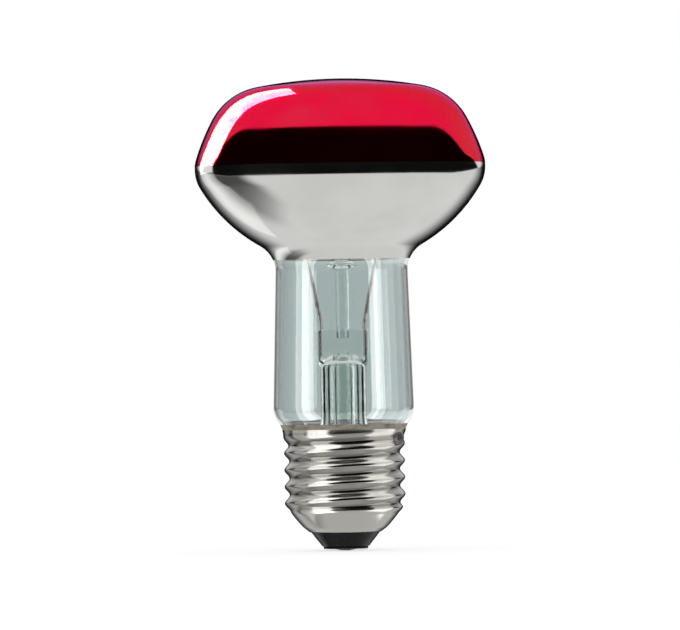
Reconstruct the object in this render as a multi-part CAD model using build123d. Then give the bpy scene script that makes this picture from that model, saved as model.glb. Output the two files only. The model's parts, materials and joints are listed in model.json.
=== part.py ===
from build123d import *
import math
import os

# Reflector bulb with an E27 screw cap, standing cap down. Millimetres and degrees.
# The origin is the lowest point of the centre contact, +Z runs up the bulb's axis to the dome,
# and -Y is the side that the photograph shows. Every section of the glass is a chain of
# tangent arcs, so a wall or a coat is the same chain set in or out by its thickness.

# Heights
cap_length = 26.3
neck_rise = 5.1
head_rise = 51.45
dome_rise = 19.35

# Glass bulb
bulb_radius = 31.5
rim_round = 7.9
flank_round = 49.4
flank_turn = 17.9
dome_edge_round = 13.75
crown_round = 99.6
cone_round = 35.4
cone_turn = 30.6
throat_round = 6.45
neck_overhang = 2.65
neck_taper = 1.75
neck_shoulder_round = 5.9
neck_shoulder_turn = 34.4
seal_clearance = 0.58
glass_wall = 0.7

# Coats, as thick as a solid needs to be
lacquer_thickness = 0.06
film_thickness = 0.06
coat_edge_rise = 0.75
film_length = 20.5

# Stem
stem_radius = 5.0
stem_wall = 1.0
stem_length = 16.6
press_width = 11.5
press_thickness = 3.8
press_height = 5.6
press_blend = 2.6
press_corner_round = 1.7
press_edge_round = 0.8
flare_well = 1.17
exhaust_radius = 2.3
exhaust_wall = 0.7
exhaust_sink = 0.6
exhaust_tail = 10.5
exhaust_tip = 3.0
exhaust_hole_radius = 1.1
exhaust_hole_rise = 1.0

# Mount of the filament
arbor_radius = 1.4
arbor_length = 14.0
arbor_root = 2.0
button_radius = 3.2
button_height = 2.4
lead_spread = 4.7
lead_radius = 0.4
lead_root = 0.6
lead_stub = 1.4
lead_bend = 2.0
filament_rise = 23.0
filament_radius = 8.85
filament_overhang = 6.0
coil_radius = 0.35
support_turns = (45.0, 90.0, 135.0)
support_wire_radius = 0.18
support_root = 1.2
loop_bite = 0.05
seal_wire_radius = 0.3
seal_wire_length = 5.2
tail_wire_radius = 0.22
tail_bend = 1.0
fuse_radius = 0.7
fuse_length = 7.0
fuse_gap = 4.0
side_lead_bend = 0.25
side_lead_drop = 2.1

# Screw cap
thread_pitch = 3.629
thread_mean_radius = 12.55
thread_throw = 0.55
thread_phase_height = 17.55
thread_steps = 8
shell_wall = 0.25
cap_edge_height = 4.0
cap_edge_radius = 7.75
lip_height = 0.9
lip_radius = 8.95
cup_height = 5.4
cup_round = 29.0
cup_step = 0.65
run_in_drop = 1.6
run_in = 2.4
run_out = 4.5
skirt_height = 3.8
skirt_clearance = 0.1
insulator_thickness = 3.2
insulator_radius = 5.1
insulator_bowl_radius = 6.0
wire_hole_radius = 1.0
lead_hole_clearance = 0.08
lead_hole_length = 2.0
contact_radius = 4.85
contact_thickness = 0.6
contact_fillet = 0.25
solder_radius = 2.4
solder_height = 0.35
solder_bulge = 0.13
solder_flat_radius = 0.7
cement_height = 6.5
bead_height = 1.1
bead_thickness = 0.15
side_solder_turn = -25.0
side_solder_width = 5.2
side_solder_height = 3.2
side_solder_rise = 0.5
side_solder_drop = 2.0

# Levels and places that follow from the sizes
cap_top = cap_length
neck_radius = thread_mean_radius + neck_overhang
neck_base = cap_top + neck_rise
rim_level = neck_base + head_rise
dome_top = rim_level + dome_rise
seal_radius = thread_mean_radius - thread_throw - shell_wall - seal_clearance
shoulder_rad = math.radians(neck_shoulder_turn)
taper_rad = math.radians(neck_taper)
shoulder_radius = neck_radius - neck_shoulder_round * (math.cos(taper_rad) - math.cos(shoulder_rad))
shoulder_level = neck_base - neck_shoulder_round * (math.sin(taper_rad) + math.sin(shoulder_rad))
seal_level = shoulder_level - (shoulder_radius - seal_radius) / math.tan(shoulder_rad)
coat_level = rim_level + coat_edge_rise
press_top = neck_base + stem_length
press_base = press_top - press_height
flare_blend = press_base - press_blend
exhaust_top = press_base - exhaust_sink
seal_wire_top = press_top - lead_root
seal_wire_base = seal_wire_top - seal_wire_length
filament_level = press_top + filament_rise
button_level = press_top + arbor_length
tail_spread = (exhaust_radius + stem_radius - stem_wall) / 2
fuse_top = seal_level - fuse_gap
fuse_base = fuse_top - fuse_length
cup_top = cap_edge_height + cup_height
plate_top = solder_height + contact_thickness


def polar(centre, radius, turn):
    # Point of a circle in the section plane, with the turn counted from +X towards +Z.
    angle = math.radians(turn)
    return (centre[0] + radius * math.cos(angle), centre[1] + radius * math.sin(angle))


def meeting(centre_a, radius_a, centre_b, radius_b, side):
    # Where two circles cross, on the side of the line from a to b that side gives.
    span = math.dist(centre_a, centre_b)
    along = (span**2 + radius_a**2 - radius_b**2) / (2 * span)
    off = side * math.sqrt(radius_a**2 - along**2)
    ux = (centre_b[0] - centre_a[0]) / span
    uz = (centre_b[1] - centre_a[1]) / span
    return (centre_a[0] + along * ux - off * uz, centre_a[1] + along * uz + off * ux)


def heading(centre, point):
    return math.degrees(math.atan2(point[1] - centre[1], point[0] - centre[0]))


def glass_chain():
    # Centre, signed radius and the two end turns of each arc from the dome's top to the neck's
    # foot. A negative radius is a hollow arc, seen from outside.
    rim = (bulb_radius - rim_round, rim_level)
    flank = polar(rim, rim_round - flank_round, flank_turn)
    crown = (0, dome_top - crown_round)
    dome_edge = meeting(
        crown, crown_round - dome_edge_round, flank, flank_round - dome_edge_round, -1
    )
    cone = polar(rim, rim_round - cone_round, -cone_turn)
    neck_normal = (math.cos(taper_rad), math.sin(taper_rad))
    foot = (neck_radius, neck_base)
    reach = (
        (cone[0] - foot[0]) * neck_normal[0] + (cone[1] - foot[1]) * neck_normal[1] - throat_round
    )
    drop = math.sqrt((cone_round + throat_round) ** 2 - reach**2)
    throat = (
        cone[0] - reach * neck_normal[0] + drop * neck_normal[1],
        cone[1] - reach * neck_normal[1] - drop * neck_normal[0],
    )
    shoulder = polar(foot, -neck_shoulder_round, neck_taper)
    return [
        (crown, crown_round, 90, heading(crown, dome_edge)),
        (dome_edge, dome_edge_round, heading(crown, dome_edge), heading(flank, dome_edge)),
        (flank, flank_round, heading(flank, dome_edge), flank_turn),
        (rim, rim_round, flank_turn, -cone_turn),
        (cone, cone_round, -cone_turn, heading(cone, throat)),
        (throat, -throat_round, heading(cone, throat), neck_taper),
        (shoulder, neck_shoulder_round, neck_taper, -neck_shoulder_turn),
    ]


def chain_ends(arc, inset):
    centre, radius, start, end = arc
    size = radius - inset
    return polar(centre, size, start), polar(centre, size, (start + end) / 2), polar(centre, size, end)


def foot_radius(inset, level):
    # Radius of the straight cone below the neck's shoulder.
    last = chain_ends(glass_chain()[-1], inset)[2]
    return last[0] - (last[1] - level) * math.tan(shoulder_rad)


def turned(edges):
    return revolve(Plane.XZ * make_face(edges), Axis.Z)


def glass_form(inset):
    # The solid inside the glass outline set in by inset, cut flat at the seal.
    edges = []
    at = None
    for arc in glass_chain():
        start, middle, end = chain_ends(arc, inset)
        if at and math.dist(at, start) > 0.001:
            edges.append(Line(at, start))
        edges.append(ThreePointArc(start, middle, end))
        at = end
    foot = (foot_radius(inset, seal_level), seal_level)
    top = chain_ends(glass_chain()[0], inset)[0]
    edges.append(Polyline(at, foot, (0, seal_level), top))
    return turned(edges)


def slab(low, high):
    reach = 2 * bulb_radius
    return Pos(0, 0, low) * Cylinder(reach, high - low, align=(Align.CENTER, Align.CENTER, Align.MIN))


def rod(radius, low, high):
    return Pos(0, 0, low) * Cylinder(radius, high - low, align=(Align.CENTER, Align.CENTER, Align.MIN))


def wire(radius, points, bend):
    # Round wire along straight runs joined by arcs.
    path = FilletPolyline(*points, radius=bend)
    start = Plane(origin=path @ 0, z_dir=path % 0)
    return sweep(start * Circle(radius), path=path)


def glass_envelope():
    return glass_form(0) - glass_form(glass_wall)


def red_lacquer():
    return (glass_form(-lacquer_thickness) - glass_form(0)) & slab(
        coat_level, dome_top + lacquer_thickness + 1
    )


def mirror_coating():
    return (glass_form(glass_wall) - glass_form(glass_wall + film_thickness)) & slab(
        coat_level - film_length, coat_level
    )


def cap_radius(level):
    # Mean radius of the cap's outside: rolled lip, rounded cup, thread and flared skirt.
    lip_top = cap_edge_height + lip_height
    if level < lip_top:
        return cap_edge_radius + (lip_radius - cap_edge_radius) * (level - cap_edge_height) / lip_height
    if level < cup_top:
        low, high = (lip_radius, lip_top), (thread_mean_radius, cup_top)
        centre = meeting(low, cup_round, high, cup_round, 1)
        return centre[0] + math.sqrt(cup_round**2 - (level - centre[1]) ** 2)
    flare = max(0, level - (cap_top - skirt_height)) / skirt_height
    return thread_mean_radius + (skirt_radius() - thread_mean_radius) * flare


def skirt_radius():
    return foot_radius(0, cap_top) + skirt_clearance + shell_wall


def eased(share):
    # Soft step from 0 to 1.
    share = min(1, max(0, share))
    return 3 * share**2 - 2 * share**3


def cap_throw(level):
    # How far the thread pushes the round section off the axis, with a soft start and end.
    rise = eased((level - cup_top + run_in_drop) / run_in)
    fade = eased((cap_top - level) / run_out)
    return thread_throw * rise * fade


def cap_section(level, inset):
    turn = 180 + 360 * (level - thread_phase_height) / thread_pitch
    x, y = polar((0, 0), cap_throw(level), turn)
    return Pos(x, y, level) * Circle(cap_radius(level) - inset)


def cap_form(inset):
    # A right-hand rolled thread: round sections of one size whose centres wind round the axis.
    lip_top = cap_edge_height + lip_height
    cup_steps = max(3, round((cup_top - lip_top) / cup_step))
    turns = (cap_top - cup_top) / thread_pitch
    steps = max(thread_steps, round(turns * thread_steps))
    levels = [cap_edge_height, cap_edge_height + lip_height / 2]
    levels += [lip_top + (cup_top - lip_top) * i / cup_steps for i in range(cup_steps)]
    levels += [cup_top + (cap_top - cup_top) * i / steps for i in range(steps + 1)]
    return loft([cap_section(level, inset) for level in levels], ruled=True)


def side_frame(level):
    # Plane on the skirt's outside where the side lead comes out: first axis round the skirt,
    # second axis up, normal outward.
    x, y = polar((0, 0), cap_radius(level), side_solder_turn)
    return Plane(origin=(x, y, level), x_dir=(-y, x, 0), z_dir=(x, y, 0))


def cap_insulator():
    # Glass bottom of the cap: a cone below the edge, and a bowl above it that fills the cup.
    cone = turned(
        [
            Polyline(
                (0, plate_top),
                (insulator_radius, plate_top),
                (cap_edge_radius - shell_wall, cap_edge_height),
                (0, cap_edge_height),
                (0, plate_top),
            )
        ]
    )
    fill_top = cap_edge_height + insulator_thickness
    fill = cap_form(shell_wall) & slab(cap_edge_height, fill_top)
    bowl = Pos(0, 0, fill_top) * scale(Sphere(insulator_bowl_radius), (1, 1, bowl_depth()))
    return cone + fill - bowl - rod(wire_hole_radius, 0, fill_top)


def bowl_depth():
    # The bowl is a flattened ball that leaves half of the fill under it.
    return insulator_thickness / 2 / insulator_bowl_radius


def contact_plate():
    plate = rod(contact_radius, solder_height, plate_top)
    plate = fillet(plate.edges().group_by(Axis.Z)[0], contact_fillet)
    return plate - rod(wire_hole_radius, 0, plate_top)


def centre_solder():
    # A drop with a small worn flat at its tip, and the plug that fills the plate's hole.
    drop = turned(
        [
            Line((0, 0), (solder_flat_radius, 0)),
            ThreePointArc(
                (solder_flat_radius, 0),
                ((solder_radius + solder_flat_radius) / 2, solder_bulge),
                (solder_radius, solder_height),
            ),
            Polyline((solder_radius, solder_height), (0, solder_height), (0, 0)),
        ]
    )
    return drop + rod(wire_hole_radius, solder_height, plate_top) - centre_lead_lower()


def glass_stem():
    # Flare tube, its blend into the flat press, and the lip that is fused to the neck.
    bore = stem_radius - stem_wall
    turn_round = foot_radius(glass_wall, seal_level) - stem_radius
    centre = (stem_radius + turn_round, seal_level + turn_round)
    outer = turn_round + stem_wall
    lip_base = seal_level - stem_wall
    lip_edge = foot_radius(0, seal_level)
    tube_top = Polyline(
        (bore, centre[1]), (bore, flare_blend), (stem_radius, flare_blend), (stem_radius, centre[1])
    )
    inside = ThreePointArc(
        (stem_radius, centre[1]), polar(centre, turn_round, 225), (centre[0], seal_level)
    )
    lip = Polyline(
        (centre[0], seal_level), (lip_edge, seal_level), (lip_edge, lip_base), (centre[0], lip_base)
    )
    outside = ThreePointArc((centre[0], lip_base), polar(centre, outer, 225), (bore, centre[1]))
    flare = turned([tube_top, inside, lip, outside])
    flat = RectangleRounded(press_width, press_thickness, press_corner_round)
    blend = loft([Pos(0, 0, flare_blend) * Circle(stem_radius), Pos(0, 0, press_base) * flat])
    press = extrude(Pos(0, 0, press_base) * flat, press_height)
    press = fillet(press.edges().group_by(Axis.Z)[-1], press_edge_round)
    well = Pos(0, 0, flare_blend) * scale(Sphere(bore), (1, 1, flare_well / bore))
    return flare + blend + press - well


def stem_flare():
    hole_level = press_base + exhaust_hole_rise
    mouth = Pos(0, 0, hole_level) * Rot(90, 0, 0) * Cylinder(
        exhaust_hole_radius, press_thickness, align=(Align.CENTER, Align.CENTER, Align.MIN)
    )
    throat = rod(exhaust_hole_radius, exhaust_top, hole_level)
    pocket = rod(exhaust_radius, flare_blend - press_blend, exhaust_top)
    body = glass_stem() - pocket - throat - mouth - rod(arbor_radius, press_top - arbor_root, press_top)
    for side in (-1, 1):
        body = body - seal_wire(side) - inner_lead(side)
    return body - lead_tail(-1, fuse_top) - side_lead()


def exhaust_tube():
    # Pumping tube, drawn to a closed tip below the flare.
    tip = seal_level - exhaust_tail
    neck = tip + exhaust_tip
    bore = exhaust_radius - exhaust_wall
    outer = [
        Line((0, tip), (exhaust_wall, tip)),
        Polyline((exhaust_wall, tip), (exhaust_radius, neck), (exhaust_radius, exhaust_top)),
        Polyline((exhaust_radius, exhaust_top), (bore, exhaust_top), (bore, neck + exhaust_wall)),
        Polyline((bore, neck + exhaust_wall), (0, tip + 2 * exhaust_wall), (0, tip)),
    ]
    return turned(outer)


def arbor_rod():
    # Glass rod with the flattened button that grips the support wires.
    button = Pos(0, 0, button_level) * scale(
        Sphere(button_radius), (1, 1, button_height / 2 / button_radius)
    )
    body = rod(arbor_radius, press_top - arbor_root, button_level) + button
    for turn in support_turns:
        body = body - support_wire(turn)
    return body


def straight(radius, start, end):
    axis = Vector(*end) - Vector(*start)
    place = Plane(origin=start, z_dir=axis)
    return place * Cylinder(radius, axis.length, align=(Align.CENTER, Align.CENTER, Align.MIN))


def gripping_loop(turn, wire_radius):
    # Closed loop round the filament, square to it.
    x, y = polar((0, 0), filament_radius, turn)
    ring = Torus(coil_radius + wire_radius - loop_bite, wire_radius)
    return Plane(origin=(x, y, filament_level), z_dir=(-y, x, 0)) * ring - filament()


def inner_lead(side):
    foot = (side * lead_spread, 0, seal_wire_top)
    bend = (side * lead_spread, 0, press_top + lead_stub)
    tip = (side * filament_radius, 0, filament_level - coil_radius - lead_radius)
    turn = 0 if side > 0 else 180
    return wire(lead_radius, [foot, bend, tip], lead_bend) + gripping_loop(turn, lead_radius)


def seal_wire(side):
    return Pos(side * lead_spread, 0, 0) * rod(seal_wire_radius, seal_wire_base, seal_wire_top)


def lead_tail(side, low):
    # Copper wire from the seal wire's foot, in beside the exhaust tube and down the flare.
    points = [
        (side * lead_spread, 0, seal_wire_base),
        (side * lead_spread, 0, seal_wire_base - tail_bend),
        (side * tail_spread, 0, flare_blend),
        (side * tail_spread, 0, low),
    ]
    return wire(tail_wire_radius, points, tail_bend / 2)


def centre_lead_lower():
    points = [
        (-tail_spread, 0, fuse_base),
        (-tail_spread, 0, fuse_base - 2 * tail_bend),
        (0, 0, cap_edge_height + insulator_thickness),
        (0, 0, solder_height),
    ]
    return wire(tail_wire_radius, points, tail_bend)


def fuse_link():
    return Pos(-tail_spread, 0, 0) * rod(fuse_radius, fuse_base, fuse_top)


def side_lead():
    # Down the flare, out under the lip, straight up past the seal, then out through the skirt.
    hole = cap_top - side_solder_drop
    low = seal_radius + seal_clearance / 2
    high = foot_radius(0, hole) + 2 * tail_wire_radius
    far = cap_radius(hole) + side_solder_rise / 2
    lip_base = seal_level - stem_wall
    stops = [(low, lip_base - side_lead_drop), (low, lip_base), (high, hole), (far, hole)]
    points = [
        (lead_spread, 0, seal_wire_base),
        (lead_spread, 0, seal_wire_base - tail_bend),
        (tail_spread, 0, flare_blend),
        (tail_spread, 0, fuse_top),
    ]
    for radius, level in stops:
        x, y = polar((0, 0), radius, side_solder_turn)
        points.append((x, y, level))
    return wire(tail_wire_radius, points, side_lead_bend)


def support_wire(turn):
    x, y = polar((0, 0), filament_radius, turn)
    root = (x / filament_radius * support_root, y / filament_radius * support_root, button_level)
    tip = (x, y, filament_level - coil_radius - support_wire_radius)
    return straight(support_wire_radius, root, tip) + gripping_loop(turn, support_wire_radius)


def filament():
    # Outer form of the coiled wire: an arc round the mirror's focus, level with the leads' loops.
    start = -filament_overhang
    path = CenterArc((0, 0), filament_radius, start, 180 + 2 * filament_overhang)
    path = Pos(0, 0, filament_level) * path
    return sweep(Plane(origin=path @ 0, z_dir=path % 0) * Circle(coil_radius), path=path)


def side_solder():
    # A flat smear over the lead's end, seated on the skirt.
    place = side_frame(cap_top - side_solder_drop)
    shape = scale(Sphere(side_solder_rise), solder_stretch())
    return place * shape - cap_form(0) - side_lead()


def solder_stretch():
    across = side_solder_width / 2 / side_solder_rise
    up = side_solder_height / 2 / side_solder_rise
    return (across, up, 1)


def cap_cement():
    # Ring between neck and skirt, with the bead that is squeezed out over the skirt's edge.
    low = cap_top - cement_height
    ring = cap_form(shell_wall) & slab(low, cap_top)
    ring = ring - rod(foot_radius(0, seal_level), low, seal_level) - glass_form(0)
    top = cap_top + bead_height
    middle = cap_top + bead_height / 2
    bead = turned(
        [
            Polyline(
                (foot_radius(0, cap_top), cap_top),
                (skirt_radius() - shell_wall / 2, cap_top),
                (foot_radius(0, middle) + bead_thickness, middle),
                (foot_radius(0, top), top),
                (foot_radius(0, cap_top), cap_top),
            )
        ]
    )
    return ring + bead - side_lead()


def screw_shell():
    # Rolled from thin sheet, open at both ends, with the hole for the side lead.
    hole = side_frame(cap_top - side_solder_drop) * Cylinder(
        tail_wire_radius + lead_hole_clearance, lead_hole_length
    )
    return cap_form(0) - cap_form(shell_wall) - hole


def pieces():
    made = {
        "glass_envelope": glass_envelope(),
        "red_lacquer": red_lacquer(),
        "mirror_coating": mirror_coating(),
        "stem_flare": stem_flare(),
        "exhaust_tube": exhaust_tube(),
        "arbor_rod": arbor_rod(),
        "inner_lead_left": inner_lead(-1),
        "inner_lead_right": inner_lead(1),
        "press_seal_left": seal_wire(-1),
        "press_seal_right": seal_wire(1),
        "centre_lead_upper": lead_tail(-1, fuse_top),
        "fuse_link": fuse_link(),
        "centre_lead_lower": centre_lead_lower(),
        "side_lead": side_lead(),
        "filament": filament(),
        "screw_shell": screw_shell(),
        "cap_insulator": cap_insulator(),
        "contact_plate": contact_plate(),
        "centre_solder": centre_solder(),
        "side_solder": side_solder(),
        "cap_cement": cap_cement(),
    }
    for number, turn in enumerate(support_turns, start=1):
        made[f"support_wire_{number}"] = support_wire(turn)
    return made


def main():
    os.makedirs("parts", exist_ok=True)
    for name, shape in pieces().items():
        export_step(shape, f"parts/{name}.step")


main()
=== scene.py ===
import json
import math

import bmesh
import bpy
from mathutils import Matrix, Vector

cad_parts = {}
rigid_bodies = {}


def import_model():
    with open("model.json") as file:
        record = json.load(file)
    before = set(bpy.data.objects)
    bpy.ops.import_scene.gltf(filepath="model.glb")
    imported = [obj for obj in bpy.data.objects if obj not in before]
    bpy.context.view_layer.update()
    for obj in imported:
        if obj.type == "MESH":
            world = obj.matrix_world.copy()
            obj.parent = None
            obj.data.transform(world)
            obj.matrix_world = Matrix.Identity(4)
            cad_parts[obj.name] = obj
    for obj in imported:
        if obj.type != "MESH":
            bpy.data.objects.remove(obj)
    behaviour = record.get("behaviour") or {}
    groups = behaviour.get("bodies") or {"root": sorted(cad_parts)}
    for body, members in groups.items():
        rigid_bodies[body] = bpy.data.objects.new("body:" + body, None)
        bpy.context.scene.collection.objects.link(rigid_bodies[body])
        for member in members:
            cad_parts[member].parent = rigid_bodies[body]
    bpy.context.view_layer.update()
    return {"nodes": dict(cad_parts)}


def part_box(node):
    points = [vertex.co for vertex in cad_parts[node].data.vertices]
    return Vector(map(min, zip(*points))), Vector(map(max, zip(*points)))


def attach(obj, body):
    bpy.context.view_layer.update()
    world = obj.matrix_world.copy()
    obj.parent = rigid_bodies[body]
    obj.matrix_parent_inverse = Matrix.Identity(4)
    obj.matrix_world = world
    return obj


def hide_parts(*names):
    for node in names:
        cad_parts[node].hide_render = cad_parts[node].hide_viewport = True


bl_info = {
    "name": "Reflector bulb",
    "version": (1, 0, 0),
    "blender": (4, 5, 0),
    "location": "3D View > Sidebar > Reflector bulb",
    "description": "Dresses the packed reflector bulb: glass, mirror, lacquer, screw cap and studio",
    "category": "Object",
}

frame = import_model()

MM = 0.001
TURN = 2 * math.pi

# Drawing
FINEST_TURN = math.radians(4)
OUTLINE_STEP = 1.2 * MM
WELD = 0.0005 * MM
CUT_GRIP = 0.0001 * MM
LEVEL_SLACK = 0.01 * MM
STEPS_A_COIL = 10
COIL_SIDES = 6
FLOOR_FACETS = 96

# Light
AMBIENT = 0.85
PAPER_GLOW = 0.58
DARK_WALL = 0.004
DIM_SIDES = 0.28
GLASS_REACH = (0.45, 0.78)
HEAD_HEIGHT = 83 * MM
LAMP_DISTANCE = 2.0
NEUTRAL = "#FFFFFF"
PALE_GREEN = "#B4FFB2"

# The studio as a mirror at the bulb's head sees it. The edges of the dark band at eye level are
# lines of rise over run, as start and slope against how far a direction points to the back.
BAND_TOP = (0.78, 0.50)
BAND_TOP_BEHIND = (1.23, 1.60)
BAND_TOP_ROUND = 0.35
BAND_FOOT = (0.29, 0.15)
BAND_FOOT_BEHIND = (0.344, 0.40)
BAND_TOP_BLUR = (-0.01, 0.03)
BAND_FOOT_BLUR = (-0.02, 0.01)
SPOT_FLATNESS = 4.0
SPOT_EDGE = (0.12, 0.3)
LOW_WALL_DIMS = (0.66, 0.96)
CURTAIN_PLACE = 0.28
CURTAIN_SHADE = 0.9
CURTAIN_SIDES = (0.18, 0.5)
CURTAIN_RISE = (-2.2, -0.5)

# Lamps by what they light: name, azimuth from the front and elevation, width and height as seen
# from the head, all in degrees, then radiance and roll
LAMPS = {
    "neck": (
        ("neck_left", -62, -18, 24, 60, 6.0, 0),
        ("neck_right", 55, -18, 15, 60, 6.0, 0),
        ("neck_right_soft", 86, -18, 34, 60, 1.2, 0),
        ("neck_behind", 180, -18, 100, 60, 0.5, 0),
    ),
    "dome": (
        ("dome_strip", -134, 8, 26, 54, 55.0, 0),
        ("dome_strip_top", -146.5, 37.5, 33, 26, 55.0, -38),
    ),
    "film": (
        ("film_strip", -134, -18, 27, 56, 0.32, 0),
        ("film_rim", -134.5, 7, 26, 22, 0.8, 0),
    ),
    "cap": (
        ("cap_left", -54, 0, 42, 34, 3.5, 0),
        ("cap_far_left", -98, 0, 34, 34, 1.0, 0),
        ("cap_right", 86, 0, 52, 34, 2.0, 0),
        ("cap_left_high", -54, 41, 42, 52, 3.5, 0),
        ("cap_far_left_high", -98, 41, 34, 52, 1.0, 0),
        ("cap_right_high", 86, 41, 52, 52, 2.0, 0),
        ("cap_left_low", -54, -34, 42, 38, 3.5, 0),
        ("cap_far_left_low", -98, -34, 34, 38, 1.0, 0),
        ("cap_right_low", 86, -34, 52, 38, 2.0, 0),
    ),
}

NODES = frame["nodes"]
GLASS_LOW, GLASS_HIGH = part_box("glass_envelope")
FILM_LOW, FILM_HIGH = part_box("mirror_coating")
LACQUER_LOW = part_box("red_lacquer")[0]
SHELL_LOW, SHELL_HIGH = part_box("screw_shell")
FILAMENT_LOW, FILAMENT_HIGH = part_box("filament")


def length(name, about, value):
    """Size property in metres, from a default in millimetres."""
    return bpy.props.FloatProperty(
        name=name, description=about, default=value * MM, unit="LENGTH", precision=5
    )


def angle(name, about, degrees):
    """Angle property, from a default in degrees."""
    return bpy.props.FloatProperty(
        name=name, description=about, default=math.radians(degrees), unit="ROTATION"
    )


def linear(code):
    """Linear red, green, blue and alpha of an sRGB hex colour."""
    levels = [int(code[i:i + 2], 16) / 255 for i in (1, 3, 5)]
    return [c / 12.92 if c <= 0.04045 else ((c + 0.055) / 1.055) ** 2.4 for c in levels] + [1.0]


def colour(name, about, code):
    """Colour property, from an sRGB hex default."""
    return bpy.props.FloatVectorProperty(
        name=name, description=about, default=linear(code)[:3], subtype="COLOR", min=0, max=1
    )


# Sizes and colours that a user would change

class GlassSizes(bpy.types.PropertyGroup):
    """Outline of the blown glass, as rounds joined without a corner."""
    crown_round: length("Crown round", "Round of the dome's top", 99.6)
    crown_turn: angle("Crown turn", "Where the crown ends", 79.62)
    edge_round: length("Dome edge round", "Round between crown and flank", 13.75)
    edge_turn: angle("Dome edge turn", "Where the dome's edge ends", 28.39)
    flank_round: length("Flank round", "Round of the head's flank", 49.4)
    flank_turn: angle("Flank turn", "Where the flank ends", 17.9)
    rim_round: length("Rim round", "Round of the widest ring", 7.9)
    rim_turn: angle("Rim turn", "Where the rim ends", -30.6)
    cone_round: length("Cone round", "Round of the mirrored cone", 35.4)
    cone_turn: angle("Cone turn", "Where the cone ends", -60.15)
    throat_round: length("Throat round", "Hollow round between cone and neck", 6.45)
    neck_taper: angle("Neck taper", "Taper of the neck towards the head", 1.75)
    neck_length: length("Neck length", "Straight part of the neck", 28.98)
    shoulder_round: length("Shoulder round", "Round of the neck's foot", 5.9)
    shoulder_turn: angle("Shoulder turn", "Slope of the neck's foot", -34.4)
    wall: length("Wall", "Thickness of the blown wall", 0.7)
    film_lift: length("Film lift", "How far the mirror stands off the glass", 0.005)
    lacquer_wall: length("Lacquer", "Thickness of the lacquer", 0.045)
    facets: bpy.props.IntProperty(name="Facets", description="Facets round the bulb", default=192)


class CapSizes(bpy.types.PropertyGroup):
    """The rolled screw cap."""
    pitch: length("Pitch", "Height of one turn of the thread", 3.629)
    throw: length("Throw", "Half the depth of the thread", 0.55)
    phase: length("Phase height", "Height at which the crest is on the left", 17.55)
    mean_radius: length("Mean radius", "Middle between crest and root", 12.55)
    edge_radius: length("Edge radius", "Radius at the insulator", 7.75)
    lip_height: length("Lip height", "Height of the turned-in lip", 0.9)
    lip_radius: length("Lip radius", "Radius at the top of the lip", 8.95)
    cup_height: length("Cup height", "Height of the cup below the thread", 5.4)
    cup_round: length("Cup round", "Round of the cup", 29.0)
    run_in: length("Run-in", "Soft start of the thread", 2.4)
    run_in_drop: length("Run-in drop", "How far below the cup's top the thread starts", 1.6)
    run_out: length("Run-out", "Soft end of the thread below the skirt", 4.5)
    skirt_height: length("Skirt height", "Height of the flared skirt", 3.8)
    wall: length("Sheet", "Thickness of the rolled sheet", 0.25)
    band: length("Band", "Height of one drawn ring of the cap", 0.15)
    # Up to pale_below the cup is painted paler, a painted reflection of the floor.
    pale_below: length("Pale below", "Height above the edge up to which the cup is pale", 4.0)
    grey_above: length("Grey above", "Height above the edge where the thread's grey begins", 6.0)
    facets: bpy.props.IntProperty(name="Facets", description="Facets round the cap", default=160)


class FilamentSizes(bpy.types.PropertyGroup):
    """The coiled wire."""
    wire: length("Wire", "Radius of the coiled wire", 0.075)
    coil: length("Coil", "Radius of the coil's centre line", 0.26)
    turns: bpy.props.IntProperty(name="Turns", description="Turns of the coil", default=76)


class Finishes(bpy.types.PropertyGroup):
    """Colours of the finishes."""
    glass_tint: colour("Glass tint", "What one wall lets through", "#D2DBDA")
    stem_tint: colour("Stem tint", "What the stem's wall lets through", "#F2F6F4")
    lacquer_red: colour("Lacquer", "Crimson of the dome", "#E60839")
    lacquer_edge: colour("Lacquer's edge", "Tint of the dome at a flat angle", "#D030AC")
    mirror_grey: colour("Mirror", "Aluminium film behind the glass", "#C9C9C6")
    cap_grey: colour("Cap", "Bright rolled sheet", "#8E8C87")
    base_black: colour("Base", "Black glass of the cap's bottom", "#0E0E0D")
    cement_tan: colour("Cement", "Baked cement", "#B5AC9C")


class StageSizes(bpy.types.PropertyGroup):
    """Camera, floor and lights."""
    distance: length("Camera distance", "From the bulb's axis", 2000)
    aim_height: length("Aim height", "Height of the picture's middle", 51.0)
    aim_side: length("Aim side", "Picture's middle, right of the axis", -0.5)
    lens: bpy.props.FloatProperty(
        name="Lens", description="Focal length in millimetres", default=488.5
    )
    lean: angle("Lean", "How far the bulb leans to the left", 0.9)
    floor_radius: length("Floor", "Radius of the floor disc", 900)


# Nodes and materials

def add(tree, kind, inputs=None, **settings):
    """One node with its settings; an input is a value, or an output socket to link."""
    node = tree.nodes.new(kind)
    for name, value in settings.items():
        setattr(node, name, value)
    for name, value in (inputs or {}).items():
        socket = node.inputs[name]
        if isinstance(value, bpy.types.NodeSocket):
            tree.links.new(value, socket)
        else:
            socket.default_value = value
    return node


def calc(tree, operation, *values):
    """One sum on numbers or sockets."""
    node = add(tree, "ShaderNodeMath", dict(enumerate(values)), operation=operation)
    return node.outputs[0]


def surface(name, **inputs):
    """A material with one glossy shader, and its tree, shader and Object coordinates."""
    material = bpy.data.materials.new(name)
    material.use_nodes = True
    tree = material.node_tree
    tree.nodes.clear()
    shader = add(tree, "ShaderNodeBsdfPrincipled")
    for key, value in inputs.items():
        shader.inputs[key.replace("_", " ")].default_value = value
    add(tree, "ShaderNodeOutputMaterial", {"Surface": shader.outputs[0]})
    place = add(tree, "ShaderNodeTexCoord").outputs["Object"]
    return material, tree, shader, place


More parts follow.
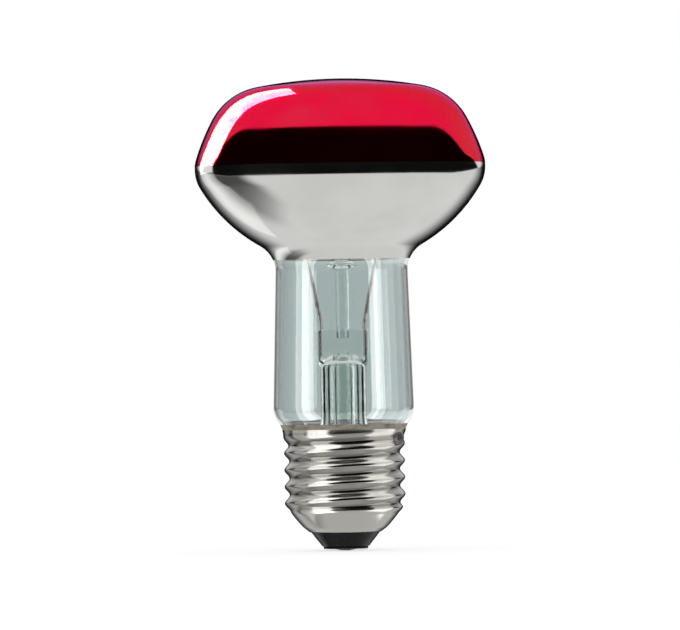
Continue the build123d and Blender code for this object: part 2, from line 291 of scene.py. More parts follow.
def grain(tree, place, size, detail=2.0, stretch=(1, 1, 1), distortion=0.0):
    """Noise with a grain of that size in metres, drawn out along an axis by stretch."""
    scale = [s / size for s in stretch]
    mapped = add(tree, "ShaderNodeMapping", {"Vector": place, "Scale": scale}).outputs[0]
    made = add(
        tree, "ShaderNodeTexNoise",
        {"Vector": mapped, "Scale": 1.0, "Detail": detail, "Distortion": distortion},
    )
    return made.outputs[0]


def between(tree, value, low, high, from_low=0.0, from_high=1.0):
    """The value's range brought to low and high, and held there."""
    ends = {"From Min": from_low, "From Max": from_high, "To Min": low, "To Max": high}
    node = add(
        tree, "ShaderNodeMapRange", {"Value": value, **ends}, interpolation_type="SMOOTHSTEP"
    )
    return node.outputs[0]


def blend_colours(tree, factor, first, second):
    """Mix of two colours or colour sockets."""
    node = add(tree, "ShaderNodeMix", data_type="RGBA")
    pairs = (("Factor_Float", factor), ("A_Color", first), ("B_Color", second))
    for identifier, value in pairs:
        socket = next(s for s in node.inputs if s.identifier == identifier)
        if isinstance(value, bpy.types.NodeSocket):
            tree.links.new(value, socket)
        else:
            socket.default_value = value
    return next(s for s in node.outputs if s.identifier == "Result_Color")


def relief(tree, shader, height, depth, strength=1.0):
    """Bump on the shader, with a full swing of that depth in metres."""
    bump = add(
        tree, "ShaderNodeBump",
        {"Height": height, "Distance": depth, "Strength": strength},
    )
    tree.links.new(bump.outputs[0], shader.inputs["Normal"])


def rgba(value):
    """The colour with a full alpha."""
    return (*value, 1.0)


def scaled(value, factor):
    """The colour made darker or brighter by a factor."""
    return [level * factor for level in value]


def mottle(tree, shader, mask, low, high, first, second):
    """Base colour from the first to the second, where the mask goes from low to high."""
    mixed = blend_colours(tree, between(tree, mask, 0, 1, low, high), rgba(first), rgba(second))
    tree.links.new(mixed, shader.inputs["Base Color"])


def roughen(tree, shader, mask, low, high, smooth, rough):
    """Roughness from smooth to rough, where the mask goes from low to high."""
    tree.links.new(between(tree, mask, smooth, rough, low, high), shader.inputs["Roughness"])


def blown_glass(scene):
    # Soda-lime glass, blown: fire-polished, so it is clear and sharp, with a faint green tint
    # and a slow waviness that bends the highlights a little.
    material, tree, shader, place = surface(
        "blown_soda_lime_glass", Base_Color=rgba(scene.bulb_finishes.glass_tint), Roughness=0.0,
        IOR=1.5, Transmission_Weight=1.0,
    )
    waves = grain(tree, place, 9 * MM, stretch=(1, 1, 0.35))
    relief(tree, shader, waves, 0.02 * MM, 0.5)
    return material


def stem_glass(scene):
    # Lead-free stem glass, drawn and pressed while soft: clear, with marks of the tongs that
    # break up what is seen through it. Its index is set below that of real glass, 1.5, because
    # the thin walls of the flare tube would otherwise turn black at their edges.
    material, tree, shader, place = surface(
        "pressed_stem_glass", Base_Color=rgba(scene.bulb_finishes.stem_tint), Roughness=0.0,
        IOR=1.3, Transmission_Weight=1.0,
    )
    marks = grain(tree, place, 2.2 * MM, detail=3.0)
    relief(tree, shader, marks, 0.06 * MM, 0.6)
    return material


def aluminised_film(scene):
    # Aluminium, vacuum-deposited on the glass: a soft silver mirror with very faint clouds
    # from the evaporation, under the gloss of the glass.
    material, tree, shader, place = surface(
        "vacuum_deposited_aluminium", Metallic=1.0, Coat_Weight=0.35, Coat_Roughness=0.02,
    )
    clouds = grain(tree, place, 14 * MM, detail=3.0, stretch=(1, 1, 1.8))
    silver = scene.bulb_finishes.mirror_grey
    mottle(tree, shader, clouds, 0.35, 0.65, scaled(silver, 0.93), silver)
    roughen(tree, shader, clouds, 0.35, 0.65, 0.07, 0.12)
    relief(tree, shader, grain(tree, place, 11 * MM, stretch=(1, 1, 0.6)), 0.02 * MM, 0.6)
    return material


def dome_lacquer(scene):
    # Stoved crimson lacquer over the bright head: a deep tinted gloss that turns purple at a
    # flat angle, with a slight orange peel that only softens the edges of the reflections.
    material, tree, shader, place = surface(
        "stoved_crimson_lacquer", Metallic=1.0, Coat_Weight=0.09, Coat_Roughness=0.01,
        Specular_Tint=rgba(scene.bulb_finishes.lacquer_edge),
    )
    crimson = scene.bulb_finishes.lacquer_red
    thick = grain(tree, place, 18 * MM, detail=2.0)
    mottle(tree, shader, thick, 0.35, 0.65, scaled(crimson, 0.94), crimson)
    roughen(tree, shader, thick, 0.35, 0.65, 0.04, 0.07)
    relief(tree, shader, grain(tree, place, 3.0 * MM, detail=1.0), 0.004 * MM, 0.5)
    return material


def thread_height(tree, sizes, x, y, z):
    """Where a point of the cap lies in the thread: 1 on the crest and -1 in the root."""
    climb = -TURN / sizes.pitch
    start = TURN * sizes.phase / sizes.pitch - math.pi
    wound = calc(tree, "MULTIPLY_ADD", z, climb, start)
    return calc(tree, "COSINE", calc(tree, "ADD", calc(tree, "ARCTAN2", y, x), wound))


def rolled_sheet(scene):
    # Nickel-bright aluminium sheet, drawn and thread-rolled: a bright metal with fine rings
    # from the rolling. The roots of the thread are painted dark, a painted shade in the hollows,
    # and the cup below the thread is painted paler, a painted reflection of the floor it faces.
    material, tree, shader, place = surface("thread_rolled_sheet", Metallic=1.0)
    rings = grain(tree, place, 0.35 * MM, detail=2.0, stretch=(0.06, 0.06, 1))
    clouds = grain(tree, place, 5 * MM, detail=4.0)
    bright = scene.bulb_finishes.cap_grey
    sizes = scene.bulb_cap
    cloudy = between(tree, clouds, 0, 1, 0.4, 0.7)
    mixed = blend_colours(tree, cloudy, rgba(bright), rgba(scaled(bright, 0.8)))
    x, y, z = add(tree, "ShaderNodeSeparateXYZ", {0: place}).outputs
    # Painted shade: the roots of the thread are painted darker, where shade falls in the hollows.
    root = between(tree, thread_height(tree, sizes, x, y, z), 1.0, 0.0, -1.0, -0.1)
    mixed = blend_colours(tree, root, mixed, rgba(scaled(bright, 0.42)))
    # Painted reflection: the cup below the thread faces the floor and is painted paler than the
    # thread.
    cup_edge = (SHELL_LOW.z + sizes.pale_below, SHELL_LOW.z + sizes.grey_above)
    cup = between(tree, z, 1.0, 0.0, *cup_edge)
    mixed = blend_colours(tree, cup, mixed, rgba(scaled(bright, 1.4)))
    tree.links.new(mixed, shader.inputs["Base Color"])
    wear = calc(tree, "MULTIPLY_ADD", clouds, 0.10, 0.08)
    tree.links.new(calc(tree, "MULTIPLY_ADD", rings, 0.08, wear), shader.inputs["Roughness"])
    relief(tree, shader, rings, 0.004 * MM, 0.5)
    return material


def black_glass(scene):
    # Black glass, cast into the cap: fire-skinned, then scuffed so that it shines little, with
    # small pits and a paler dust in them.
    material, tree, shader, place = surface(
        "cast_black_glass", IOR=1.52, Specular_IOR_Level=0.12
    )
    pits = grain(tree, place, 0.8 * MM, detail=4.0)
    black = scene.bulb_finishes.base_black
    dusty = [level + 0.012 for level in black]
    mottle(tree, shader, pits, 0.55, 0.75, black, dusty)
    roughen(tree, shader, pits, 0.4, 0.75, 0.12, 0.4)
    relief(tree, shader, pits, 0.05 * MM, 0.6)
    return material


def baked_cement(scene):
    # Cap cement, marble meal in resin, baked: matt tan with darker scorched patches and grit.
    material, tree, shader, place = surface("baked_cap_cement", Roughness=0.85, IOR=1.5)
    patches = grain(tree, place, 3.5 * MM, detail=3.0, stretch=(1, 1, 2))
    tan = scene.bulb_finishes.cement_tan
    mottle(tree, shader, patches, 0.4, 0.68, tan, scaled(tan, 0.42))
    relief(tree, shader, grain(tree, place, 0.4 * MM, detail=4.0), 0.08 * MM, 0.8)
    return material


def soft_solder(name, code):
    # Solder, or the tarnished brass of the contact: satin, with a crust of flux that mottles the
    # shine.
    # The contact's and centre solder's dark greys are partly tarnish, partly painted shade.
    material, tree, shader, place = surface(name, Metallic=1.0)
    crust = grain(tree, place, 0.7 * MM, detail=4.0)
    grey = linear(code)[:3]
    mottle(tree, shader, crust, 0.42, 0.62, grey, scaled(grey, 0.45))
    roughen(tree, shader, crust, 0.4, 0.7, 0.25, 0.55)
    relief(tree, shader, crust, 0.08 * MM, 0.6)
    return material


def drawn_wire(name, bright, dull, roughness):
    # Drawn wire: long fine die lines, and a skin of oxide where it has been hot.
    material, tree, shader, place = surface(name, Metallic=1.0, Roughness=roughness)
    oxide = grain(tree, place, 1.2 * MM, detail=3.0)
    mottle(tree, shader, oxide, 0.4, 0.65, linear(bright)[:3], linear(dull)[:3])
    relief(tree, shader, grain(tree, place, 0.08 * MM, stretch=(1, 1, 0.05)), 0.004 * MM, 0.5)
    return material


# Modelling

def arc(bm, tip, heading, radius, turn, step):
    """Draws on from the tip along an arc in the XZ plane, turning clockwise for a positive turn.
    Gives the new tip and heading."""
    side = Vector((math.sin(heading), 0, -math.cos(heading))) * math.copysign(radius, turn)
    steps = max(math.ceil(abs(turn) * radius / step), math.ceil(abs(turn) / FINEST_TURN))
    spun = bmesh.ops.spin(
        bm, geom=[tip], cent=tip.co + side, axis=(0, 1, 0), dvec=(0, 0, 0),
        angle=turn, steps=steps, use_merge=False, use_duplicate=False,
    )
    return next(g for g in spun["geom_last"] if isinstance(g, bmesh.types.BMVert)), heading - turn


def line(bm, tip, move):
    """Draws on from the tip by a straight move."""
    made = bmesh.ops.extrude_vert_indiv(bm, verts=[tip])
    bmesh.ops.translate(bm, verts=made["verts"], vec=move)
    return made["verts"][0]


def glass_outline(bm, sizes, inset, step):
    """Draws the glass outline, set in by inset, from the dome's top to the seal."""
    tip = bmesh.ops.create_vert(bm, co=(0, 0, GLASS_HIGH.z - inset))["vert"][0]
    runs = [
        (sizes.crown_round, math.pi / 2, sizes.crown_turn),
        (sizes.edge_round, sizes.crown_turn, sizes.edge_turn),
        (sizes.flank_round, sizes.edge_turn, sizes.flank_turn),
        (sizes.rim_round, sizes.flank_turn, sizes.rim_turn),
        (sizes.cone_round, sizes.rim_turn, sizes.cone_turn),
    ]
    heading = 0.0
    for radius, start, end in runs:
        tip, heading = arc(bm, tip, heading, radius - inset, start - end, step)
    tip, heading = arc(
        bm, tip, heading, sizes.throat_round + inset, sizes.cone_turn - sizes.neck_taper, step
    )
    down = Vector((math.cos(heading), 0, math.sin(heading)))
    tip = line(bm, tip, down * sizes.neck_length)
    tip, heading = arc(
        bm, tip, heading, sizes.shoulder_round - inset, sizes.neck_taper - sizes.shoulder_turn, step
    )
    drop = tip.co.z - GLASS_LOW.z
    tip = line(bm, tip, Vector((-drop * math.tan(-sizes.shoulder_turn), 0, -drop)))
    return tip


def lathe(bm, facets):
    """Spins the drawn outline once round the axis and closes its seam and poles."""
    bmesh.ops.spin(
        bm, geom=bm.verts[:] + bm.edges[:], cent=(0, 0, 0), axis=(0, 0, 1), dvec=(0, 0, 0),
        angle=TURN, steps=facets, use_merge=True, use_duplicate=False,
    )
    bmesh.ops.remove_doubles(bm, verts=bm.verts, dist=WELD)
    bmesh.ops.recalc_face_normals(bm, faces=bm.faces)


def finish_piece(bm, name, material, node_names, sharp=0.6):
    """Turns the bmesh into a smooth piece that rides on the root and stands for its nodes."""
    mesh = bpy.data.meshes.new(name)
    bm.to_mesh(mesh)
    bm.free()
    if not mesh.polygons:
        raise RuntimeError(f"{name} has no faces")
    mesh.shade_smooth()
    mesh.set_sharp_from_angle(angle=sharp)
    piece = bpy.data.objects.new(name, mesh)
    bpy.context.scene.collection.objects.link(piece)
    mesh.materials.append(material)
    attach(piece, "root")
    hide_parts(*node_names)
    return piece


def cut_away(bm, level, keep_above):
    """Cuts the mesh at a level and clears one side."""
    geom = bm.verts[:] + bm.edges[:] + bm.faces[:]
    bmesh.ops.bisect_plane(
        bm, geom=geom, dist=CUT_GRIP, plane_co=(0, 0, level), plane_no=(0, 0, 1),
        clear_inner=keep_above, clear_outer=not keep_above,
    )


def join_tips(bm, first, second):
    """Joins the ends of two outlines."""
    bm.edges.new((first, second))


def outline_band(sizes, inset_out, inset_in, low, high, facets):
    """Thin coat between two insets of the glass outline and two levels; it runs to the top of
    the dome if the high level is above the glass."""
    bm = bmesh.new()
    glass_outline(bm, sizes, inset_out, OUTLINE_STEP)
    glass_outline(bm, sizes, inset_in, OUTLINE_STEP)
    cut_away(bm, low, True)
    if high < GLASS_HIGH.z:
        cut_away(bm, high, False)
    ends = [v for v in bm.verts if len(v.link_edges) == 1]
    for level in (low, high):
        pair = [v for v in ends if abs(v.co.z - level) < LEVEL_SLACK]
        if len(pair) == 2:
            join_tips(bm, *pair)
    lathe(bm, facets)
    return bm


def next_ring(bm, edges):
    """Extrudes a ring of edges in place, and gives the new ring's vertices and edges."""
    drawn = bmesh.ops.extrude_edge_only(bm, edges=edges)["geom"]
    verts = {g for g in drawn if isinstance(g, bmesh.types.BMVert)}
    fresh = [
        g for g in drawn if isinstance(g, bmesh.types.BMEdge) and verts.issuperset(g.verts)
    ]
    return list(verts), fresh


def smooth_step(value):
    """Eases from 0 to 1, and holds there."""
    value = min(1.0, max(0.0, value))
    return value * value * (3 - 2 * value)


def cap_radius(sizes, level):
    """Mean outside radius of the cap at a level."""
    lip_top = SHELL_LOW.z + sizes.lip_height
    cup_top = SHELL_LOW.z + sizes.cup_height
    if level < lip_top:
        share_up = (level - SHELL_LOW.z) / sizes.lip_height
        return sizes.edge_radius + (sizes.lip_radius - sizes.edge_radius) * share_up
    if level < cup_top:
        low = Vector((sizes.lip_radius, lip_top))
        high = Vector((sizes.mean_radius, cup_top))
        chord = high - low
        rise = math.sqrt(sizes.cup_round**2 - chord.length_squared / 4)
        centre = (low + high) / 2 + Vector((-chord.y, chord.x)).normalized() * rise
        return centre.x + math.sqrt(sizes.cup_round**2 - (level - centre.y) ** 2)
    flare = max(0.0, level - (SHELL_HIGH.z - sizes.skirt_height)) / sizes.skirt_height
    return sizes.mean_radius + (SHELL_HIGH.x - sizes.mean_radius) * flare


def cap_centre(sizes, level):
    """How far, and which way, the thread pushes the round section off the axis."""
    start = SHELL_LOW.z + sizes.cup_height - sizes.run_in_drop
    throw = sizes.throw * smooth_step((level - start) / sizes.run_in)
    throw *= smooth_step((SHELL_HIGH.z - level) / sizes.run_out)
    turn = math.pi + TURN * (level - sizes.phase) / sizes.pitch
    return Vector((throw * math.cos(turn), throw * math.sin(turn), level))


def draw_cap(sizes):
    """The cap's outside, as rings drawn on from the edge at the insulator to the skirt."""
    height = SHELL_HIGH.z - SHELL_LOW.z
    bands = round(height / sizes.band)
    levels = [SHELL_LOW.z + height * band / bands for band in range(bands + 1)]
    bm = bmesh.new()
    radius = cap_radius(sizes, levels[0])
    ring = bmesh.ops.create_circle(bm, segments=sizes.facets, radius=radius)["verts"]
    bmesh.ops.translate(bm, verts=ring, vec=cap_centre(sizes, levels[0]))
    edges = bm.edges[:]
    for low, level in zip(levels, levels[1:]):
        centre = cap_centre(sizes, low)
        ring, edges = next_ring(bm, edges)
        wider = cap_radius(sizes, level) / cap_radius(sizes, low)
        around = Matrix.Translation(-centre)
        bmesh.ops.scale(bm, verts=ring, vec=(wider, wider, 1), space=around)
        bmesh.ops.translate(bm, verts=ring, vec=cap_centre(sizes, level) - centre)
    bmesh.ops.recalc_face_normals(bm, faces=bm.faces)
    return bm


def draw_coil(sizes):
    """The filament: a wire coiled along an arc round the bulb's axis, with closed ends."""
    level = (FILAMENT_LOW.z + FILAMENT_HIGH.z) / 2
    big = FILAMENT_HIGH.x - (FILAMENT_HIGH.z - FILAMENT_LOW.z) / 2
    start = math.asin(FILAMENT_LOW.y / big)
    sweep = math.pi - 2 * start
    steps = sizes.turns * STEPS_A_COIL

    def place(step):
        around = start + sweep * step / steps
        coil = TURN * step / STEPS_A_COIL
        outward = Vector((math.cos(around), math.sin(around), 0))
        far = big + sizes.coil * math.cos(coil)
        return outward * far + Vector((0, 0, level + sizes.coil * math.sin(coil)))

    def aim(step):
        ahead = (place(step + 0.5) - place(step - 0.5)).normalized()
        turned = ahead.to_track_quat("Z", "Y").to_matrix().to_4x4()
        return Matrix.Translation(place(step)) @ turned

    bm = bmesh.new()
    ring = bmesh.ops.create_circle(bm, segments=COIL_SIDES, radius=sizes.wire)["verts"]
    edges = bm.edges[:]
    bmesh.ops.transform(bm, matrix=aim(0), verts=ring)
    for step in range(1, steps + 1):
        ring, edges = next_ring(bm, edges)
        bmesh.ops.transform(bm, matrix=aim(step) @ aim(step - 1).inverted(), verts=ring)
    bmesh.ops.holes_fill(bm, edges=[e for e in bm.edges if e.is_boundary], sides=0)
    bmesh.ops.recalc_face_normals(bm, faces=bm.faces)
    return bm


# Pieces

class BULB_OT_glass(bpy.types.Operator):
    """Blown glass bulb, one wall from dome to seal"""
    bl_idname = "bulb.glass"
    bl_label = "Glass bulb"

    def execute(self, context):
        sizes = context.scene.bulb_glass
        bm = bmesh.new()
        outer = glass_outline(bm, sizes, 0.0, OUTLINE_STEP)
        inner = glass_outline(bm, sizes, sizes.wall, OUTLINE_STEP)
        join_tips(bm, outer, inner)
        lathe(bm, sizes.facets)
        material = blown_glass(context.scene)
        piece = finish_piece(bm, "glass_bulb", material, ["glass_envelope"])
        piece.visible_shadow = False
        piece.visible_glossy = False
        return {"FINISHED"}


class BULB_OT_mirror(bpy.types.Operator):
    """Silver mirror of the cone"""
    bl_idname = "bulb.mirror"
    bl_label = "Mirror"

    def execute(self, context):
        sizes = context.scene.bulb_glass
        bm = outline_band(
            sizes, -sizes.film_lift * 2, -sizes.film_lift, FILM_LOW.z, FILM_HIGH.z, sizes.facets
        )
        material = aluminised_film(context.scene)
        finish_piece(bm, "mirror_film", material, ["mirror_coating"])
        return {"FINISHED"}


class BULB_OT_lacquer(bpy.types.Operator):
    """Crimson coat of the dome"""
    bl_idname = "bulb.lacquer"
    bl_label = "Dome lacquer"

    def execute(self, context):
        sizes = context.scene.bulb_glass
        bm = outline_band(
            sizes, -sizes.lacquer_wall - sizes.film_lift, -sizes.film_lift,
            LACQUER_LOW.z, GLASS_HIGH.z + sizes.lacquer_wall * 2, sizes.facets,
        )
        material = dome_lacquer(context.scene)
        piece = finish_piece(bm, "dome_coat", material, ["red_lacquer"])
        piece.visible_glossy = False
        return {"FINISHED"}


class BULB_OT_cap(bpy.types.Operator):
    """Rolled screw cap"""
    bl_idname = "bulb.cap"
    bl_label = "Screw cap"

    def execute(self, context):
        sizes = context.scene.bulb_cap
        bm = draw_cap(sizes)
        material = rolled_sheet(context.scene)
        piece = finish_piece(
            bm, "threaded_cap", material, ["screw_shell"], sharp=1.2
        )
        sheet = piece.modifiers.new("Sheet", "SOLIDIFY")
        sheet.thickness = sizes.wall
        sheet.offset = -1.0
        piece.visible_glossy = False
        return {"FINISHED"}


class BULB_OT_filament(bpy.types.Operator):
    """Coiled filament"""
    bl_idname = "bulb.filament"
    bl_label = "Filament"

    def execute(self, context):
        bm = draw_coil(context.scene.bulb_filament)
        material = drawn_wire("drawn_tungsten", "#8C8C90", "#5A5A60", 0.35)
        finish_piece(bm, "coiled_filament", material, ["filament"], sharp=2.0)
        return {"FINISHED"}


class BULB_OT_kept_nodes(bpy.types.Operator):
    """Finishes of the pieces whose shape comes from the model"""
    bl_idname = "bulb.kept_nodes"
    bl_label = "Stem, wires and contacts"

    def execute(self, context):
        scene = context.scene
        stem = stem_glass(scene)
        nickel = drawn_wire("drawn_nickel", "#B5B2AB", "#807D78", 0.4)
        copper = drawn_wire("drawn_copper", "#B09A90", "#7C6A62", 0.4)
        clad = drawn_wire("copper_clad_seal_wire", "#B2553A", "#6E2A1C", 0.35)
        hot = drawn_wire("drawn_molybdenum", "#7C7C80", "#4E4E54", 0.35)
        finishes = {
            "stem_flare": stem, "exhaust_tube": stem, "arbor_rod": stem, "fuse_link": stem,
            "inner_lead_left": nickel, "inner_lead_right": nickel,
            "centre_lead_upper": copper, "centre_lead_lower": copper, "side_lead": copper,
            "press_seal_left": clad, "press_seal_right": clad,
            "support_wire_1": hot, "support_wire_2": hot, "support_wire_3": hot,
            "cap_insulator": black_glass(scene),
            # The contact and the centre solder are given dark greys: partly their tarnish, partly
            # painted shade of the cap's bottom.
            "contact_plate": soft_solder("tarnished_brass_and_painted_shade", "#5A5348"),
            "centre_solder": soft_solder("contact_solder_and_painted_shade", "#6A6A68"),
            "side_solder": soft_solder("skirt_solder", "#5A5254"),
            "cap_cement": baked_cement(scene),
        }
        for name, material in finishes.items():
            NODES[name].material_slots[0].material = material
            NODES[name].visible_shadow = material is not stem
            NODES[name].visible_glossy = False
        return {"FINISHED"}


class BULB_OT_stage(bpy.types.Operator):
    """Floor, camera, lights and surroundings"""
    bl_idname = "bulb.stage"
    bl_label = "Stage"

    def execute(self, context):
        scene = context.scene
        sizes = scene.bulb_stage
        make_floor(sizes)
        make_camera(scene, sizes)
        make_surroundings(scene)
        make_lights()
        scene.view_settings.view_transform = "Standard"
        return {"FINISHED"}


def make_floor(sizes):
    """The round floor of paper at height 0."""
    bm = bmesh.new()
    bmesh.ops.create_circle(
        bm, cap_ends=True, segments=FLOOR_FACETS, radius=sizes.floor_radius
    )
    mesh = bpy.data.meshes.new("studio_floor")
    bm.to_mesh(mesh)
    bm.free()
    floor = bpy.data.objects.new("studio_floor", mesh)
    bpy.context.scene.collection.objects.link(floor)
    mesh.materials.append(floor_paper())
    floor.visible_glossy = False
    floor.visible_shadow = False


def floor_paper():
    # White studio paper: matt, and white where the camera or a ray through glass sees it, with
    # the bulb's own soft shadow.
    material, tree, shader, place = surface("studio_paper", Roughness=0.9)
    fibres = grain(tree, place, 1.5 * MM, detail=3.0)
    mixed = blend_colours(tree, fibres, linear("#BABABA"), linear("#C0C0C0"))
    tree.links.new(mixed, shader.inputs["Base Color"])
    shader.inputs["Emission Color"].default_value = (1, 1, 1, 1)
    seen = light_paths(tree)[1]
    tree.links.new(calc(tree, "MULTIPLY", seen, PAPER_GLOW), shader.inputs["Emission Strength"])
    return material


def make_camera(scene, sizes):
    """The far, level camera, tilted so that the bulb leans as in the photograph."""
    camera = bpy.data.objects.new("camera", bpy.data.cameras.new("camera"))
    scene.collection.objects.link(camera)
    camera.data.lens = sizes.lens
    camera.data.sensor_width = 36.0
    camera.location = (sizes.aim_side, -sizes.distance, sizes.aim_height)
    camera.rotation_euler = (math.pi / 2, sizes.lean, 0)
    scene.camera = camera


def light_paths(tree):
    """Whether a ray is a mirrored one, and whether it looks at white straight or through glass."""
    path = add(tree, "ShaderNodeLightPath").outputs
    mirrored = calc(tree, "GREATER_THAN", path["Is Glossy Ray"], path["Is Transmission Ray"])
    seen = calc(tree, "MAXIMUM", path["Is Camera Ray"], path["Is Transmission Ray"])
    return mirrored, seen


def flat_length(tree, x, y):
    """Length of the diagonal over x and y."""
    return calc(tree, "SQRT", calc(tree, "MULTIPLY_ADD", x, x, calc(tree, "MULTIPLY", y, y)))


def falling_line(tree, edge, at):
    """Height of a line with that start and downward slope."""
    start, slope = edge
    return calc(tree, "MULTIPLY_ADD", at, -slope, start)


def beyond_band(tree, back, rise):
    """White above the dark band, and white below it."""
    high, high_behind = (falling_line(tree, edge, back) for edge in (BAND_TOP, BAND_TOP_BEHIND))
    low, low_behind = (falling_line(tree, edge, back) for edge in (BAND_FOOT, BAND_FOOT_BEHIND))
    top = calc(tree, "SMOOTH_MIN", high, high_behind, BAND_TOP_ROUND)
    foot = calc(tree, "MINIMUM", low, low_behind)
    above = between(tree, calc(tree, "SUBTRACT", rise, top), 0.0, 1.0, *BAND_TOP_BLUR)
    below = between(tree, calc(tree, "ADD", rise, foot), 1.0, 0.0, *BAND_FOOT_BLUR)
    return above, below


def beside_spot(tree, across, y, up):
    """White, but for a flat dark spot straight behind."""
    wide = calc(tree, "MULTIPLY", across, across)
    off = calc(tree, "MULTIPLY_ADD", calc(tree, "MULTIPLY", up, SPOT_FLATNESS), up, wide)
    off = calc(tree, "MAXIMUM", off, calc(tree, "LESS_THAN", y, 0.0))
    return between(tree, off, 0.0, 1.0, *SPOT_EDGE)


def curtain_shade(tree, x, back, rise, below):
    """Shade of the grey curtain that hangs low at the left."""
    beside = calc(tree, "ABSOLUTE", calc(tree, "SUBTRACT", back, CURTAIN_PLACE))
    shade = between(tree, beside, CURTAIN_SHADE, 0.0, *CURTAIN_SIDES)
    shade = calc(tree, "MULTIPLY", shade, calc(tree, "LESS_THAN", x, 0.0))
    shade = calc(tree, "MULTIPLY", shade, between(tree, rise, 0.0, 1.0, *CURTAIN_RISE))
    return calc(tree, "MULTIPLY", shade, below)


def studio_white(tree, x, y, z):
    """Brightness of the studio in the direction x, y, z from the bulb's head: white walls, a
    dark band at eye level that ends at the sides, a dark spot straight behind, a low wall that
    dims to the back, and a grey curtain at the left."""
    flat = flat_length(tree, x, y)
    far = flat_length(tree, z, flat)
    back = calc(tree, "DIVIDE", y, flat)
    rise = calc(tree, "DIVIDE", z, flat)
    behind, across, up = (calc(tree, "DIVIDE", part, far) for part in (y, x, z))
    above, below = beyond_band(tree, back, rise)
    dimmed = calc(tree, "MULTIPLY", below, between(tree, behind, 0.0, 1.0, *LOW_WALL_DIMS))
    curtain = curtain_shade(tree, x, back, rise, below)
    white = calc(tree, "MAXIMUM", above, below)
    white = calc(tree, "MULTIPLY", white, beside_spot(tree, across, y, up))
    for shade in (dimmed, curtain):
        white = calc(tree, "MULTIPLY", white, calc(tree, "SUBTRACT", 1.0, shade))
    return calc(tree, "MULTIPLY_ADD", white, 1 - DARK_WALL, DARK_WALL)


def through_glass(tree, y):
    """Share of the white backdrop that a ray, bent by glass, still reaches."""
    return between(tree, y, 0.0, 1.0, *GLASS_REACH)


def make_surroundings(scene):
    """The studio's white and dark for mirrored rays, a backdrop that is white to the camera and
    dims at the sides for rays bent by glass, and an even light for the rest."""
    world = bpy.data.worlds.new("studio")
    scene.world = world
    world.use_nodes = True
    tree = world.node_tree
    tree.nodes.clear()
    way = add(tree, "ShaderNodeTexCoord").outputs["Generated"]
    x, y, z = add(tree, "ShaderNodeSeparateXYZ", {0: way}).outputs
    level = studio_white(tree, x, y, z)
    mirrored, seen = light_paths(tree)
    backdrop = calc(tree, "MULTIPLY_ADD", through_glass(tree, y), 1 - DIM_SIDES, DIM_SIDES)
    straight = add(tree, "ShaderNodeLightPath").outputs["Is Camera Ray"]
    backdrop = calc(tree, "MAXIMUM", backdrop, straight)
    plain = add(
        tree, "ShaderNodeMix", {0: seen, 2: AMBIENT, 3: backdrop}, data_type="FLOAT"
    ).outputs[0]
    strength = add(
        tree, "ShaderNodeMix", {0: mirrored, 2: plain, 3: level}, data_type="FLOAT"
    ).outputs[0]
    glow = add(tree, "ShaderNodeBackground", {"Color": rgba((1, 1, 1)), "Strength": strength})
    add(tree, "ShaderNodeOutputWorld", {"Surface": glow.outputs[0]})


def softbox(lamp, receivers, code):
    """Rectangular light that is placed and sized by a row of LAMPS, has that colour, and lights
    the receivers alone."""
    name, azimuth, elevation, across, high, radiance, roll = lamp
    a, e = math.radians(azimuth), math.radians(elevation)
    out = Vector((math.cos(e) * math.sin(a), -math.cos(e) * math.cos(a), math.sin(e)))
    data = bpy.data.lights.new(name, "AREA")
    data.shape = "RECTANGLE"
    data.size = 2 * LAMP_DISTANCE * math.tan(math.radians(across) / 2)
    data.size_y = 2 * LAMP_DISTANCE * math.tan(math.radians(high) / 2)
    data.energy = radiance * math.pi * data.size * data.size_y
    data.color = linear(code)[:3]
    box = bpy.data.objects.new(name, data)
    bpy.context.scene.collection.objects.link(box)
    box.location = Vector((0, 0, HEAD_HEIGHT)) + out * LAMP_DISTANCE
    facing = out.to_track_quat("Z", "Y").to_matrix()
    box.rotation_euler = (facing @ Matrix.Rotation(math.radians(roll), 3, "Z")).to_euler()
    box.visible_camera = False
    box.visible_transmission = False
    lit = bpy.data.collections.new(name)
    for receiver in receivers:
        lit.objects.link(receiver)
    box.light_linking.receiver_collection = lit


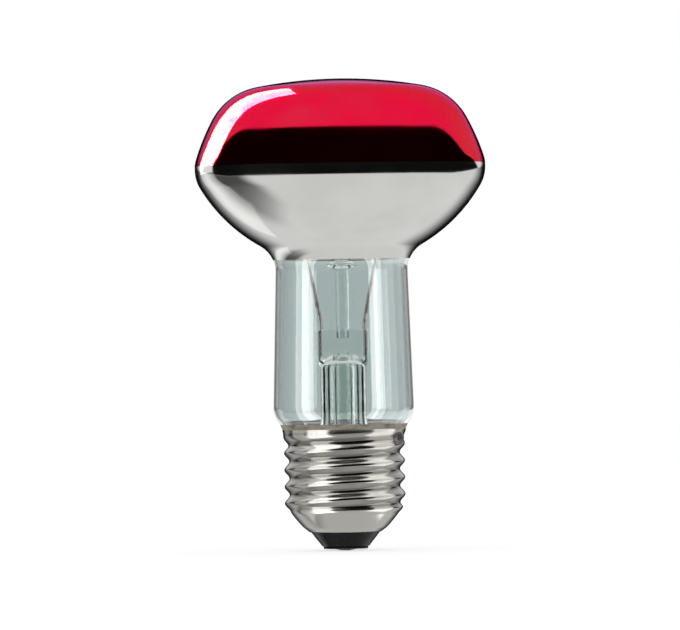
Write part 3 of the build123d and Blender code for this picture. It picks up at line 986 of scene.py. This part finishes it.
def make_lights():
    """The lamps, each for the highlight on one kind of surface. Those of the dome are pale
    green, so that the crimson mirrors them as white."""
    piece = bpy.data.objects
    inside = ("stem_flare", "exhaust_tube", "arbor_rod", "inner_lead_left", "inner_lead_right")
    receivers = {
        "neck": [piece["glass_bulb"], *(NODES[name] for name in inside)],
        "dome": [piece["dome_coat"]],
        "film": [piece["mirror_film"]],
        "cap": [piece["threaded_cap"], NODES["side_solder"]],
    }
    for part, lamps in LAMPS.items():
        for lamp in lamps:
            softbox(lamp, receivers[part], PALE_GREEN if part == "dome" else NEUTRAL)


# Panel and registration

PIECES = (
    BULB_OT_glass, BULB_OT_mirror, BULB_OT_lacquer, BULB_OT_cap, BULB_OT_filament,
    BULB_OT_kept_nodes, BULB_OT_stage,
)
GROUPS = {
    "bulb_glass": GlassSizes, "bulb_cap": CapSizes, "bulb_filament": FilamentSizes,
    "bulb_finishes": Finishes, "bulb_stage": StageSizes,
}


class BULB_PT_panel(bpy.types.Panel):
    """Lists the bulb's sizes, colours and pieces"""
    bl_label = "Reflector bulb"
    bl_idname = "BULB_PT_panel"
    bl_space_type = "VIEW_3D"
    bl_region_type = "UI"
    bl_category = "Reflector bulb"

    def draw(self, context):
        for name, group in GROUPS.items():
            box = self.layout.box()
            box.label(text=group.__doc__)
            for field in group.__annotations__:
                box.prop(getattr(context.scene, name), field)
        for operator in PIECES:
            self.layout.operator(operator.bl_idname)


def register():
    for item in (*GROUPS.values(), *PIECES, BULB_PT_panel):
        bpy.utils.register_class(item)
    for name, group in GROUPS.items():
        setattr(bpy.types.Scene, name, bpy.props.PointerProperty(type=group))


def unregister():
    for name in GROUPS:
        delattr(bpy.types.Scene, name)
    for item in reversed((*GROUPS.values(), *PIECES, BULB_PT_panel)):
        bpy.utils.unregister_class(item)


def main():
    register()
    bpy.ops.bulb.glass()
    bpy.ops.bulb.mirror()
    bpy.ops.bulb.lacquer()
    bpy.ops.bulb.cap()
    bpy.ops.bulb.filament()
    bpy.ops.bulb.kept_nodes()
    bpy.ops.bulb.stage()
    bpy.context.view_layer.update()


if __name__ == "__main__":
    main()
